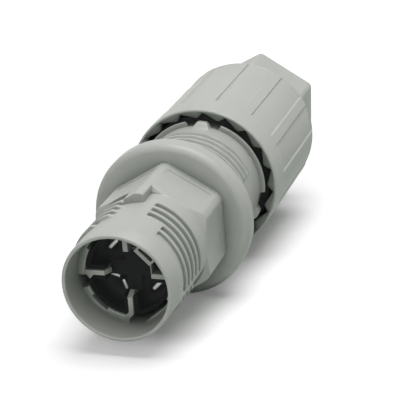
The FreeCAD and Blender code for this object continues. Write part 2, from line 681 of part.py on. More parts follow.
def make_union_nut():
    corner = NUT_HEX_FLATS / math.sqrt(3)
    trim = corner - HEX_CORNER_TRIM
    barrel = turned((
        (0, NUT_STATION, 0),
        (NUT_RADIUS, NUT_STATION, NUT_RIM_ROUNDING),
        (NUT_RADIUS, NUT_BARREL_END, 0),
        (corner, NUT_HEX_FRONT, 0),
        (0, NUT_HEX_FRONT + corner / 2, 0),
    ))
    wrench = hexagon(NUT_HEX_FLATS, NUT_BARREL_END, NUT_END, NUT_HEX_ANGLE).common(turned((
        (0, NUT_BARREL_END, 0),
        (trim, NUT_BARREL_END, 0),
        (trim, NUT_END - NUT_HEX_CHAMFER, 0),
        (trim - NUT_HEX_CHAMFER, NUT_END, 0),
        (0, NUT_END, 0),
    )))
    cutters = [ratchet_mouth()]
    panel_front = NUT_STATION + NUT_PANEL_STATION
    panel_end = panel_front + NUT_PANEL_LENGTH
    for panel in range(NUT_PANELS):
        start = NUT_HEX_ANGLE + (panel + 0.5) * 360.0 / NUT_PANELS - NUT_PANEL_SPAN / 2
        cutters.append(ring(NUT_RADIUS - NUT_PANEL_DEPTH, FAR, panel_front, panel_end,
                            start, NUT_PANEL_SPAN))
    cutters.append(turned((
        (0, NUT_STATION + TOOTH_LENGTH, 0),
        (TOOTH_ROOT_RADIUS, NUT_STATION + TOOTH_LENGTH, 0),
        (TOOTH_ROOT_RADIUS, CAVITY_END, 0),
        (NUT_BORE, CAVITY_END, 0),
        (NUT_BORE, NUT_CONE_FRONT, 0),
        (NUT_CONE_END_RADIUS, NUT_CONE_END, 0),
        (CABLE_HOLE_RADIUS, NUT_CONE_END, 0),
        (CABLE_HOLE_RADIUS, NUT_END + OVERCUT, 0),
        (0, NUT_END + OVERCUT, 0),
    )))
    return barrel.fuse(wrench).cut(cutters).removeSplitter()


def make_parts():
    return {
        "housing": make_housing(),
        "panel_seal": make_panel_seal(),
        "sleeve_seal": make_sleeve_seal(),
        "contact_carrier": make_carrier(),
        "contact_line": make_flat_contact("line"),
        "contact_neutral": make_flat_contact("neutral"),
        "contact_earth": make_earth_contact(),
        "splice_ring": make_splice_ring(),
        "cable_seal": make_cable_seal(),
        "clamp_cage": make_clamp_cage(),
        "union_nut": make_union_nut(),
    }


os.makedirs("parts", exist_ok=True)
for node, shape in make_parts().items():
    print(node, "valid" if shape.isValid() else "NOT VALID", len(shape.Solids), round(shape.Volume, 1))
    shape.exportStep("parts/" + node + ".step")
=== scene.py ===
import bpy
import numpy as np
from mathutils import Matrix, Vector


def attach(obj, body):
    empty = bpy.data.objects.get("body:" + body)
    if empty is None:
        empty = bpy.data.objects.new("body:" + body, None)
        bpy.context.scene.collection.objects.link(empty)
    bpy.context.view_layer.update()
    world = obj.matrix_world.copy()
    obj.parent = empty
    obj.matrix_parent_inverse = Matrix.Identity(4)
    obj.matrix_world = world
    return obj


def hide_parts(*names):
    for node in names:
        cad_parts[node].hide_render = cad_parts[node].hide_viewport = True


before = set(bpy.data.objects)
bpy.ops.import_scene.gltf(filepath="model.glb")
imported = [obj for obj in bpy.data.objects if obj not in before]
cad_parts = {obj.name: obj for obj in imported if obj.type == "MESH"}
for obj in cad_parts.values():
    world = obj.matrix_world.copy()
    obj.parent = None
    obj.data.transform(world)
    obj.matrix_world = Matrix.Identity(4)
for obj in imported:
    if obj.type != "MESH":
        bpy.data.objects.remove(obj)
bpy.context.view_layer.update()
mm = 0.001
print("frame loaded:", len(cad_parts), "nodes")


# shape helpers: lengths in mm, angles in degrees from +X towards +Z

def easeStep(x, low, high):
    # 0 up to low, 1 from high on, the cubic 3t2 - 2t3 between
    t = np.clip((x - low) / (high - low), 0, 1)
    return t * t * (3 - 2 * t)


def softMin(a, b, width):
    # the smaller of two, less a parabola where they are nearer than width
    h = np.clip(0.5 + 0.5 * (b - a) / width, 0, 1)
    return b + (a - b) * h - width * h * (1 - h)


def softMax(a, b, width):
    # the larger of two, plus a parabola where they are nearer than width
    return -softMin(-a, -b, width)


def fromAngle(angle, centre):
    # degrees from centre, between -180 and 180
    return (angle - centre + 180) % 360 - 180


def arcMask(angle, start, end, ease):
    # 1 inside the arc, eased to 0 over the last degrees inside its ends
    off = np.abs(fromAngle(angle, (start + end) / 2))
    return 1 - easeStep(off, (end - start) / 2 - ease, (end - start) / 2)


def hexRadius(angle, flats, cornerAngle, trim, rounding):
    # half the flats over the cosine from the nearest flat's middle, held under the trim radius
    off = (angle - cornerAngle) % 60 - 30
    return softMin(flats / 2 / np.cos(np.radians(off)), trim, rounding)


def edgeRound(station, edge, rounding):
    # drop of a rounded end: a quarter circle over the first bit behind the edge
    t = np.clip((station - edge) / rounding, 0, 1)
    return rounding * (1 - np.sqrt(np.maximum(1 - (1 - t) ** 2, 0)))


def quarterRows(edge, rounding, count):
    # stations from an edge through its rounding, closer where the surface is steep
    return edge + rounding * (1 - np.cos(np.linspace(0, np.pi / 2, count)))


def rowsUpTo(edge, rounding, count):
    # the same stations mirrored, so that they end at the edge
    return edge - quarterRows(0, rounding, count)[::-1]


def ringAngles(columns):
    # even angles once round the axis, as one row
    return np.linspace(0, 360, columns, endpoint=False)[None, :]


def polarPoints(radius, station, angle):
    # x = r cos a, y = station, z = r sin a, over a grid of rows and columns
    radius, station, a = np.broadcast_arrays(radius, station, np.radians(angle))
    return np.stack([radius * np.cos(a), station, radius * np.sin(a)], -1)


def gridFaces(rows, columns, wrapRows=True, wrapColumns=True):
    # quads between neighbouring rows and columns, with the last joined to the first where they wrap
    i = np.arange(rows if wrapRows else rows - 1)[:, None]
    j = np.arange(columns if wrapColumns else columns - 1)[None, :]
    up, on = (i + 1) % rows, (j + 1) % columns
    corners = [i * columns + j, i * columns + on, up * columns + on, up * columns + j]
    return np.stack(corners, -1).reshape(-1, 4).tolist()


def addPiece(name, points, faces, body, material, sharp=32, nodes=()):
    # one mesh object in metres that rides on a body; all faces turn where the volume in its quads is negative
    points = np.asarray(points).reshape(-1, 3) * mm
    corner = points[np.array([face for face in faces if len(face) == 4])]
    spread = np.cross(corner[:, 1], corner[:, 2]) + np.cross(corner[:, 2], corner[:, 3])
    if (corner[:, 0] * spread).sum() < 0:
        faces = [face[::-1] for face in faces]
    mesh = bpy.data.meshes.new(name)
    mesh.from_pydata(points.tolist(), [], faces)
    mesh.validate()
    mesh.polygons.foreach_set("use_smooth", np.ones(len(mesh.polygons), bool))
    mesh.set_sharp_from_angle(angle=np.radians(sharp))
    mesh.materials.append(material)
    piece = bpy.data.objects.new(name, mesh)
    bpy.context.scene.collection.objects.link(piece)
    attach(piece, body)
    if nodes:
        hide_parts(*nodes)
    print("piece", name, len(mesh.polygons), "faces")
    return piece


# materials

class Wire:
    # one output socket; arithmetic on it adds Math nodes to its tree
    def __init__(self, shade, socket):
        self.shade, self.socket = shade, socket

    def calc(self, operation, first, second=0.0):
        return self.shade.node("ShaderNodeMath", {"operation": operation}, {0: first, 1: second})

    def __add__(self, other):
        return self.calc("ADD", self, other)

    def __radd__(self, other):
        return self.calc("ADD", other, self)

    def __sub__(self, other):
        return self.calc("SUBTRACT", self, other)

    def __rsub__(self, other):
        return self.calc("SUBTRACT", other, self)

    def __mul__(self, other):
        return self.calc("MULTIPLY", self, other)

    def __rmul__(self, other):
        return self.calc("MULTIPLY", other, self)

    def __abs__(self):
        return self.calc("ABSOLUTE", self)


class Shade:
    # the node tree of one material, or of the world
    def __init__(self, owner):
        owner.use_nodes = True
        self.owner, self.tree = owner, owner.node_tree
        self.tree.nodes.clear()

    def node(self, kind, settings, sockets, output=0):
        # a node of one type: its settings first, then a value or a link for each socket
        made = self.tree.nodes.new(kind)
        for key, value in settings.items():
            setattr(made, key, value)
        for key, value in sockets.items():
            if isinstance(value, Wire):
                self.tree.links.new(value.socket, made.inputs[key])
            else:
                made.inputs[key].default_value = value
        return Wire(self, made.outputs[output]) if made.outputs else None

    def place(self):
        # object coordinates in metres
        return self.node("ShaderNodeTexCoord", {}, {}, "Object")

    def along(self, axis):
        # one of the object coordinates
        return self.node("ShaderNodeSeparateXYZ", {}, {0: self.place()}, axis)

    def ray(self, kind):
        # 1 for rays of this kind, 0 for others
        return self.node("ShaderNodeLightPath", {}, {}, "Is " + kind + " Ray")

    def noise(self, scale, detail, roughness, stretch=(1, 1, 1)):
        # fractal noise on object coordinates; a small stretch draws it out along that axis
        spot = self.node("ShaderNodeMapping", {}, {"Vector": self.place(), "Scale": stretch})
        sockets = {"Vector": spot, "Scale": scale, "Detail": detail, "Roughness": roughness}
        return self.node("ShaderNodeTexNoise", {}, sockets)

    def mix(self, factor, first, second):
        # the first colour at factor 0, the second at 1
        return self.node("ShaderNodeMix", {"data_type": "RGBA"}, {0: factor, 6: first, 7: second}, 2)

    def ramp(self, value, low, high):
        # 0 up to low, 1 from high on, a smooth step between
        sockets = {"Value": value, "From Min": low, "From Max": high}
        return self.node("ShaderNodeMapRange", {"interpolation_type": "SMOOTHSTEP"}, sockets)

    def bump(self, height, strength, distance):
        # a normal tilted by the slope of height times distance
        sockets = {"Height": height, "Strength": strength, "Distance": distance}
        return self.node("ShaderNodeBump", {}, sockets)

    def finish(self, **sockets):
        # the principled shader with these sockets as the material's surface
        named = {key.replace("_", " "): value for key, value in sockets.items()}
        surface = self.node("ShaderNodeBsdfPrincipled", {}, named)
        self.node("ShaderNodeOutputMaterial", {}, {"Surface": surface})
        return self.owner


# each noise in a finish is given by its scale, detail and roughness

greyFinish = {
    "colour": (0.545, 0.560, 0.525, 1),     # warm light grey with a trace of green
    "shadow": (0.490, 0.505, 0.472, 1),     # the same in the flow marks
    "corner": (0.200, 0.225, 0.198, 1),     # painted shade in crevices, from ambient occlusion
    "creviceShadeReach": 0.0045, "creviceShadeRange": (0.30, 0.93), "creviceShadeSamples": 8,
    "flow": (90, 4, 0.6), "flowStretch": (1, 0.35, 1), "flowRange": (0.35, 0.7), "flowShare": 0.5,
    "speck": (1716, 2, 0.6), "speckRange": (0.62, 0.78), "speckShare": 0.22,
    "grain": (5200, 2, 0.5), "grainStrength": 0.35, "grainHeight": 0.000012,    # spark-eroded, about 0.2 mm
    "roughness": 0.42, "flowGloss": 0.12, "grainGloss": 0.10, "ior": 1.52,
}


def greyPlastic(name, look):
    # moulded polyamide: flow marks and specks tint the colour, painted shade darkens it in crevices, fine
    # mould grain gives the bump, and the roughness varies with flow and grain
    s = Shade(bpy.data.materials.new(name))
    flow = s.noise(*look["flow"], look["flowStretch"])
    grain = s.noise(*look["grain"])
    speck = s.ramp(s.noise(*look["speck"]), *look["speckRange"])
    tone = s.ramp(flow, *look["flowRange"]) * look["flowShare"] + speck * look["speckShare"]
    # painted shade: ambient occlusion darkens the colour towards the crevice colour
    clear = s.node("ShaderNodeAmbientOcclusion", {"samples": look["creviceShadeSamples"]},
                   {"Distance": look["creviceShadeReach"]}, "AO")
    shaded = s.mix(tone, look["colour"], look["shadow"])
    return s.finish(
        Base_Color=s.mix(s.ramp(clear, *look["creviceShadeRange"]), look["corner"], shaded),
        Roughness=look["roughness"] + (flow - 0.5) * look["flowGloss"] + (grain - 0.5) * look["grainGloss"],
        Normal=s.bump(grain, look["grainStrength"], look["grainHeight"]),
        IOR=look["ior"])


blackFinish = {
    "colour": (0.0050, 0.0053, 0.0054, 1), "dust": (0.011, 0.011, 0.011, 1),
    "deep": (0.10, 0.105, 0.10, 1), "chamberLightFrom": (-0.0205, -0.0160),     # painted light: paler down in the chambers, towards the rear
    "cloud": (240, 4, 0.6), "cloudRange": (0.45, 0.8), "cloudGloss": 0.1,
    "grain": (6500, 2, 0.5), "grainGloss": 0.2, "grainStrength": 0.3, "grainHeight": 0.00001,
    "roughness": 0.55, "gloss": 0.08,
    "stray": (0.92, 1.0, 0.97, 1), "strayLight": 0.006,     # stray light that reaches the chambers
}


def blackPlastic(name, look):
    # dark moulding: a little pale dust in broad clouds, painted light that pales it towards the rear, a faint
    # painted glow, fine grain in the bump, and roughness that varies with clouds and grain
    s = Shade(bpy.data.materials.new(name))
    cloud = s.noise(*look["cloud"])
    grain = s.noise(*look["grain"])
    dusty = s.mix(s.ramp(cloud, *look["cloudRange"]), look["colour"], look["dust"])
    return s.finish(
        # painted light: paler towards the rear, down in the chambers
        Base_Color=s.mix(s.ramp(s.along("Y"), *look["chamberLightFrom"]), dusty, look["deep"]),
        Roughness=look["roughness"] + (grain - 0.5) * look["grainGloss"] + (cloud - 0.5) * look["cloudGloss"],
        Normal=s.bump(grain, look["grainStrength"], look["grainHeight"]),
        Specular_IOR_Level=look["gloss"],
        Emission_Color=look["stray"], Emission_Strength=look["strayLight"])


rubberFinish = {
    "colour": (0.014, 0.014, 0.015, 1), "bloom": (0.052, 0.052, 0.053, 1),
    "patch": (420, 5, 0.65), "patchRange": (0.42, 0.75), "patchGloss": 0.14,
    "skin": (9000, 3, 0.6), "skinGloss": 0.12, "skinStrength": 0.4, "skinHeight": 0.000012,
    "roughness": 0.66,
}


def blackRubber(name, look):
    # moulded seal: matt, with a grey bloom in patches and a fine skin in the bump
    s = Shade(bpy.data.materials.new(name))
    bloom = s.ramp(s.noise(*look["patch"]), *look["patchRange"])
    skin = s.noise(*look["skin"])
    return s.finish(
        Base_Color=s.mix(bloom, look["colour"], look["bloom"]),
        Roughness=look["roughness"] + bloom * look["patchGloss"] + (skin - 0.5) * look["skinGloss"],
        Normal=s.bump(skin, look["skinStrength"], look["skinHeight"]))


metalFinish = {
    "colour": (0.91, 0.93, 0.90, 1), "dull": (0.74, 0.72, 0.68, 1), "dullShare": 0.6,
    "flankShade": (0.045, 0.045, 0.043, 1), "flankShadeFrom": (-0.01686, -0.01670),     # painted shade on the flanks behind the tips
    "lines": (5200, 3, 0.6), "lineStretch": (1, 0.05, 1),
    "lineGloss": 0.16, "lineStrength": 0.25, "lineHeight": 0.000008,
    "cloud": (520, 4, 0.6), "cloudRange": (0.45, 0.75), "cloudGloss": 0.12,
    "roughness": 0.30, "metallic": 0.40,
    "stray": (0.96, 1.0, 0.95, 1), "strayLight": 0.15,      # stray light on the tips
}


def tinnedMetal(name, look):
    # tinned strip: rolling marks along the axis in the bump, dull clouds in the colour, a painted glint that
    # makes the stamped tips bright, and painted shade that makes the flanks behind them dark
    s = Shade(bpy.data.materials.new(name))
    lines = s.noise(*look["lines"], look["lineStretch"])
    cloud = s.ramp(s.noise(*look["cloud"]), *look["cloudRange"])
    # painted shade on the flanks behind the tips; the painted glint of the glow stays on the tips
    behind = s.ramp(s.along("Y"), *look["flankShadeFrom"])
    tone = s.mix(cloud * look["dullShare"], look["colour"], look["dull"])
    return s.finish(
        Base_Color=s.mix(behind, tone, look["flankShade"]),
        Metallic=look["metallic"],
        Roughness=look["roughness"] + (lines - 0.5) * look["lineGloss"] + cloud * look["cloudGloss"],
        Normal=s.bump(lines, look["lineStrength"], look["lineHeight"]),
        Emission_Color=s.mix(behind, look["stray"], look["flankShade"]), Emission_Strength=look["strayLight"])


grey = greyPlastic("greyHousingPlastic", greyFinish)
insert = blackPlastic("blackInsertPlastic", blackFinish)
# the clamp parts take no painted light towards the rear
black = blackPlastic("blackClampPlastic", dict(blackFinish, deep=blackFinish["dust"]))
rubber = blackRubber("blackSealRubber", rubberFinish)
metal = tinnedMetal("tinnedContactMetal", metalFinish)

# the pieces that stay as the CAD has them
cadFinishes = {
    "contact_carrier": insert, "splice_ring": black, "clamp_cage": black,
    "sleeve_seal": rubber, "cable_seal": rubber,
}
for name, finish in cadFinishes.items():
    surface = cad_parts[name].data.materials
    surface.clear()
    surface.append(finish)
print("materials made:", len(bpy.data.materials))


# housing: collar, hexagon, flange, thread and sleeve as one closed shell

housing = {
    "columns": 324,
    "rim": -26.8, "rimRadius": 8.0, "rimRounding": 0.18, "mouthEase": 0.12, "socketRadius": 7.5,
    "collarRadius": 8.5, "leadIn": 2.2, "blend": 0.12,
    # lock sectors: centre, side where they start, how late groove one starts, length of the fall before them
    "sectors": ((29.0, 1, 19.0, 0), (149.0, -1, 15.5, 33.0), (284.5, 1, 15.5, 17.5)),
    "sectorSpan": 87.0, "sectorEase": 0.9,
    "grooves": 4, "firstGroove": 6.4, "groovePitch": 1.67, "grooveWidth": 1.08, "grooveDepth": 0.50,
    "grooveEase": (0.13, 0.04),     # of a groove's walls, inside and outside its edge
    "runIn": (3.3, 5.2), "runInDepth": 0.42, "runInPower": 1.5, "runInEase": (0.06, 0.03),
    "fallDepth": 0.42, "fallReturn": 8.0, "endSlope": 5.5, "lastRidge": 12.65, "lastRidgeEase": 0.06,
    "hexFlats": 17.0, "hexAngle": 90.0, "hexFront": -12.0, "hexTrim": 9.54,
    "hexChamfer": 0.85, "chamferBlend": 0.1, "footBlend": 0.03,
    # a shallow field on each flat
    "fieldFront": -7.6, "fieldRear": -4.87, "fieldHalf": 3.85, "fieldDepth": 0.15,
    "fieldWall": 0.05, "fieldEase": (0.12, 0.04),
    "lugArc": (84.7, 106.0), "lugFront": -15.4, "lugEase": 0.08, "lugClear": 0.4, "arcEase": 1.0,
    "flangeRadius": 12.25, "flangeFront": -3.1, "flangeRounding": 1.1, "flangeRear": 0.4,
    "sealSeat": (10.15, 11.7, 1.05), "seatEase": 0.05,      # inner and outer radius, and depth
    "threadRadius": 10.0, "threadPitch": 1.5, "threadStart": 1.2, "threadTurns": 5, "threadDepth": 0.48,
    "threadRoot": 0.45, "threadFlank": 32.0, "threadEnd": 9.2, "threadSampling": 0.075, "plainHalf": 21.5,
    "bandRadius": 9.5, "bandEnd": 13.1, "endRounding": 0.3,
    "ledgeRadius": 10.25, "ledgeEnd": 13.5, "ledgeRounding": 0.12,
    "ledgeArcs": ((-8.0, 70.0), (100.5, 190.0), (232.0, 310.0)),
    # ramped stops between the arcs
    "stops": (86.0, 211.0, 331.0), "stopRamp": (12.1, 12.8), "stopWidth": 2.75, "stopSlope": 1.11,
    "stopBlend": 0.08,
    "sleeveRadius": 9.3, "sleeveEnd": 25.5, "sleeveBore": 8.3, "boreChamfer": 0.2,
    "frameBore": 6.4, "frameRear": -13.05, "carrierSeat": 10.2,
}


def lockDepth(h, y, angle):
    # the deepest of three at each place: the grooves of a sector, with eased walls; a run-in that deepens to
    # the rear by a power; and the fall before a sector, less the ridges that stand up from it by sloped ends
    half, edge = h["sectorSpan"] / 2, h["grooveWidth"] / 2
    inside, outside = h["grooveEase"]
    first, last = h["rim"] + h["firstGroove"], h["rim"] + h["lastRidge"]
    low, high = h["rim"] + h["runIn"][0], h["rim"] + h["runIn"][1]
    wall = easeStep(y, high - h["runInEase"][0], high + h["runInEase"][1])
    ramp = np.clip((y - low) / (high - low), 0, 1) ** h["runInPower"] * (1 - wall)
    frontRidge = wall * (1 - easeStep(y, first - edge - outside, first - edge + inside))
    ridges = easeStep(y, first + edge - inside, first + edge + outside)
    ridges = ridges * (1 - easeStep(y, last - h["lastRidgeEase"], last + h["lastRidgeEase"]))
    depth = 0 * y + 0 * angle
    for centre, side, late, fall in h["sectors"]:
        off = fromAngle(angle, centre) * side
        on = 1 - easeStep(np.abs(off), half - h["sectorEase"], half)
        begun = on * (1 - easeStep(off, half - late - h["sectorEase"], half - late))
        depth = np.maximum(depth, h["runInDepth"] * ramp * begun)
        for groove in range(h["grooves"]):
            dip = 1 - easeStep(np.abs(y - first - groove * h["groovePitch"]), edge - inside, edge + outside)
            depth = np.maximum(depth, h["grooveDepth"] * dip * (begun if groove == 0 else on))
        if fall:
            fallen = np.clip((half + fall - off) / fall, 0, 1) * easeStep(off, h["fallReturn"] - half, 0)
            rise = np.clip((half - off) / h["endSlope"], 0, 1)
            lateRise = np.clip((half - late - off) / h["endSlope"], 0, 1)
            stand = np.maximum(ridges * rise, frontRidge * lateRise)
            depth = np.maximum(depth, h["fallDepth"] * fallen * (1 - stand))
    return depth


def collarRadius(h, y, angle):
    # lead-in cone and cylinder less the lock depth, joined to the chamfered hexagon and the lug, less the
    # shallow fields
    cone = h["rimRadius"] + (y - h["rim"]) * (h["collarRadius"] - h["rimRadius"]) / h["leadIn"]
    r = softMin(cone, h["collarRadius"] - lockDepth(h, y, angle), h["blend"])
    r = r - edgeRound(y, h["rim"], h["rimRounding"])
    flat = h["hexFlats"] / 2
    wrench = hexRadius(angle, h["hexFlats"], h["hexAngle"], h["hexTrim"], h["blend"])
    chamfer = flat + (y - h["hexFront"]) * (h["hexTrim"] - flat) / h["hexChamfer"]
    coned = softMin(wrench, chamfer, h["chamferBlend"])
    r = np.where(y >= h["hexFront"], softMax(r, coned, h["footBlend"]), r)
    lug = arcMask(angle, *h["lugArc"], h["arcEase"])
    lug = lug * easeStep(y, h["lugFront"], h["lugFront"] + h["lugEase"])
    clear = 1 - easeStep(y, h["hexFront"] + h["lugClear"], h["hexFront"] + h["hexChamfer"])
    r = np.where(lug * clear > 0, np.maximum(r, r + (wrench - r) * lug), r)
    across = np.abs(flat * np.tan(np.radians((angle - h["hexAngle"]) % 60 - 30)))
    inside, outside = h["fieldEase"]
    field = 1 - easeStep(across, h["fieldHalf"] - inside, h["fieldHalf"] + outside)
    sunk = np.clip((y - h["fieldFront"]) / (h["fieldRear"] - h["fieldFront"]), 0, 1)
    sunk = sunk * (1 - easeStep(y, h["fieldRear"], h["fieldRear"] + h["fieldWall"]))
    return r - h["fieldDepth"] * sunk * field


def rearRadius(h, y, angle):
    # panel thread as a right-hand V groove, plain on both sides, then band, ramped stops, ledge, sleeve
    turn = (y - h["threadStart"]) / h["threadPitch"] + angle % 360 / 360
    reach = np.abs(turn - np.clip(np.round(turn), 1, h["threadTurns"])) * h["threadPitch"]
    flank = h["threadDepth"] * np.tan(np.radians(h["threadFlank"]))
    cut = np.clip((h["threadRoot"] / 2 + flank - reach) / flank, 0, 1)
    thread = h["threadRadius"] - h["threadDepth"] * cut - edgeRound(-y, -h["threadEnd"], h["endRounding"])
    half, ease = h["plainHalf"], h["arcEase"]
    plain = arcMask(angle, -half, half, ease) + arcMask(angle, 180 - half, 180 + half, ease)
    thread = thread + (h["bandRadius"] - thread) * plain
    sleeve = h["sleeveRadius"] - edgeRound(-y, -h["sleeveEnd"], h["endRounding"])
    r = np.where(y <= h["threadEnd"], thread, h["bandRadius"])
    r = np.where(y > h["bandEnd"], sleeve, r)
    low, high = h["stopRamp"]
    rise = np.clip((y - low) / (high - low), 0, 1) * (y <= h["ledgeEnd"])
    top = h["bandRadius"] + (h["ledgeRadius"] - h["bandRadius"]) * rise
    for centre in h["stops"]:
        inside = h["stopWidth"] / 2 - np.abs(fromAngle(angle, centre)) * np.pi / 180 * h["bandRadius"]
        stop = softMin(top, h["bandRadius"] + inside * h["stopSlope"], h["stopBlend"])
        r = np.where((rise > 0) & (inside > 0), np.maximum(r, stop), r)
    lip = h["ledgeRadius"] - edgeRound(y, h["bandEnd"], h["ledgeRounding"])
    lip = lip - edgeRound(-y, -h["ledgeEnd"], h["ledgeRounding"])
    onLedge = (y >= h["bandEnd"]) & (y <= h["ledgeEnd"])
    for start, end in h["ledgeArcs"]:
        r = np.where(onLedge, r + (lip - r) * arcMask(angle, start, end, ease), r)
    return r


def frontRows(h):
    # stations from the rim to the flange, close together where the radius turns; the steps here set no size
    rim, lug, hexFront, flange = h["rim"], h["lugFront"], h["hexFront"], h["flangeFront"]
    coneEnd, lastRidge = rim + h["leadIn"], rim + h["lastRidge"]
    runStart, runEnd = rim + h["runIn"][0], rim + h["runIn"][1]
    fieldFront, fieldRear = h["fieldFront"], h["fieldRear"]
    wall = np.linspace(-0.5, 0.5, 4)
    inside, outside = h["grooveEase"]
    edge = h["grooveWidth"] / 2 + outside - (inside + outside) * np.linspace(0, 1, 5)
    ditch = np.concatenate([-edge, [-0.1, 0.1], edge[::-1]])
    middles = rim + h["firstGroove"] + np.arange(h["grooves"]) * h["groovePitch"]
    grooves = (middles[:, None] + ditch).ravel()
    return np.concatenate([
        quarterRows(rim, h["rimRounding"], 6),
        np.linspace(rim + 0.4, coneEnd - 0.2, 5),
        np.linspace(coneEnd - 0.15, coneEnd + 0.2, 6),
        [coneEnd + 0.5, coneEnd + 0.9],
        np.linspace(runStart, runEnd - 0.15, 6),
        runEnd + wall * 0.09,
        grooves[grooves < lug - 0.02],
        np.linspace(lug, lug + h["lugEase"], 4),
        grooves[grooves > lug + 0.1],
        lastRidge + wall * 0.12,
        [hexFront - 2.0, hexFront - 0.5, hexFront - 0.02],
        np.linspace(hexFront, hexFront + h["hexChamfer"] + 0.15, 14),
        np.linspace(hexFront + 1.3, fieldFront - 0.05, 4),
        np.linspace(fieldFront, fieldRear - 0.03, 6),
        np.linspace(fieldRear, fieldRear + h["fieldWall"], 4),
        [fieldRear + 0.1, flange - 0.6, flange - 0.05, flange]])


def rearRows(h):
    # stations from the flange to the sleeve's end, in the same way; the thread is sampled evenly
    threadEnd, bandEnd, ledgeEnd = h["threadEnd"], h["bandEnd"], h["ledgeEnd"]
    return np.concatenate([
        [0.02, 0.4],
        np.arange(0.7, threadEnd - h["endRounding"], h["threadSampling"]),
        rowsUpTo(threadEnd, h["endRounding"], 5),
        [threadEnd + 0.02, threadEnd + 0.5, threadEnd + 1.5],
        np.linspace(h["stopRamp"][0] - 0.05, h["stopRamp"][1] + 0.05, 9),
        [bandEnd - 0.01],
        quarterRows(bandEnd, h["ledgeRounding"], 5),
        [(bandEnd + ledgeEnd) / 2],
        rowsUpTo(ledgeEnd, h["ledgeRounding"], 5),
        [ledgeEnd + 0.02, ledgeEnd + 1.0, ledgeEnd + 2.5, ledgeEnd + 6.5, ledgeEnd + 11.5],
        rowsUpTo(h["sleeveEnd"], h["endRounding"], 5)])


def boreLine(h):
    # radius and station of the inside, from the sleeve's end to the rim, with more rows on the long bores
    sleeve, bore, socket = h["sleeveBore"], h["frameBore"], h["socketRadius"]
    rim, rear, ease, chamfer = h["rim"], h["frameRear"], h["mouthEase"], h["boreChamfer"]
    return np.array([
        (sleeve + chamfer, h["sleeveEnd"]), (sleeve, h["sleeveEnd"] - chamfer), (sleeve, h["carrierSeat"]),
        (bore, h["carrierSeat"]), (bore, -2.0), (bore, rear),
        (socket, rear), (socket, -18.0), (socket, -22.0), (socket, rim + 0.4),
        (socket, rim + ease), (socket + ease / 3, rim + ease / 3), (socket + ease, rim)])


def buildHousing(h):
    # a meridian carried round the axis: the radius is a function of station and angle, section by section
    angle = ringAngles(h["columns"])
    front, rear, bore = frontRows(h), rearRows(h), boreLine(h)
    bulge = quarterRows(h["flangeFront"], h["flangeRounding"], 9)
    back = rowsUpTo(0, h["flangeRear"], 6)
    near, far, deep = h["sealSeat"]
    ease = h["seatEase"]
    seat = np.array([(far + ease, 0), (far, -ease), (far, -deep),
                     (near, -deep), (near, -ease), (near - ease, 0)])
    sections = [
        (collarRadius(h, front[:, None], angle), front),
        (h["flangeRadius"] - edgeRound(bulge, h["flangeFront"], h["flangeRounding"])[:, None], bulge),
        (h["flangeRadius"] - edgeRound(-back, 0, h["flangeRear"])[:, None], back),
        (seat[:, :1], seat[:, 1]),
        (rearRadius(h, rear[:, None], angle), rear),
        (bore[:, :1], bore[:, 1])]
    radius = np.concatenate([r + 0 * angle for r, _ in sections])
    station = np.concatenate([y for _, y in sections])[:, None]
    points = polarPoints(radius, station, angle)
    return addPiece("housing_shell", points, gridFaces(len(station), h["columns"]), "housing",
                    grey, nodes=["housing"])


buildHousing(housing)


# coding walls inside the collar: flat outlines carried along the axis, front edges eased

walls = {
    "front": -22.05, "rear": -13.0, "ease": 0.09, "frontStep": 0.008, "rearStep": 0.002,
    "bore": 6.4, "notch": 6.87, "notchSpan": 24.8, "outer": 7.56, "overlap": 0.1, "shortArc": 0.2,
    "thickness": 0.75, "end": 3.5,
    # two inner ends slope back
    "tipReach": 0.60, "tipStart": 0.03, "tipSlope": 1.35, "tipEnd": 1.50, "tipRoot": 0.3,
    "tipInset": 0.01, "tipEase": 0.03,
    "sideSlot": (-2.35, -0.45), "slantSlot": (-5.92, -4.62), "slotRadius": 6.9, "bendReach": (-6.35, -5.9),
    "pip": (5.75, 1.1, 0.65),                               # place, width and height
    "key": (3.46, 0.63, -1.33, 1.80), "keySide": 0.35,      # near side, thickness, low and high end
    "web": (3.43, 3.60, 1.74), "webRoot": 0.05, "webBack": (0.12, 1.5),
}


def carryOutline(outline, low, high, ease, easeEnd=0.0, mitreLimit=0.35):
    # a closed outline in two coordinates is carried along the third; at the eased ends it is moved inwards
    # along its corner normals through a quarter circle, and each end is closed by one face
    p = np.asarray(outline, float)
    if (p[:, 0] * np.roll(p[:, 1], -1) - np.roll(p[:, 0], -1) * p[:, 1]).sum() < 0:
        p = p[::-1]
    edge = np.roll(p, -1, 0) - p
    edge /= np.linalg.norm(edge, axis=1)[:, None]
    normal = np.stack([-edge[:, 1], edge[:, 0]], 1)
    before = np.roll(normal, 1, 0)
    inward = (normal + before) / np.maximum(1 + (normal * before).sum(1), mitreLimit)[:, None]
    first = np.linspace(0, np.pi / 2, 4)
    last = first[::-1] if easeEnd else first[-1:]
    inset = np.concatenate([ease * (1 - np.sin(first)), easeEnd * (1 - np.sin(last))])
    along = np.concatenate([low + ease * (1 - np.cos(first)), high - easeEnd * (1 - np.cos(last))])
    flat = p + inward * inset[:, None, None]
    points = np.concatenate([flat, along[:, None, None] + 0 * flat[..., :1]], -1)
    count, end = len(p), (len(inset) - 1) * len(p)
    caps = [list(range(count))[::-1], list(range(end, end + count))]
    return points.reshape(-1, 3), gridFaces(len(inset), count, False) + caps


def joinParts(parts):
    # several closed outlines in one mesh, each face counted on from the points before it
    points, faces, count = [], [], 0
    for p, f in parts:
        points.append(p)
        faces += [[i + count for i in face] for face in f]
        count += len(p)
    return np.concatenate(points), faces


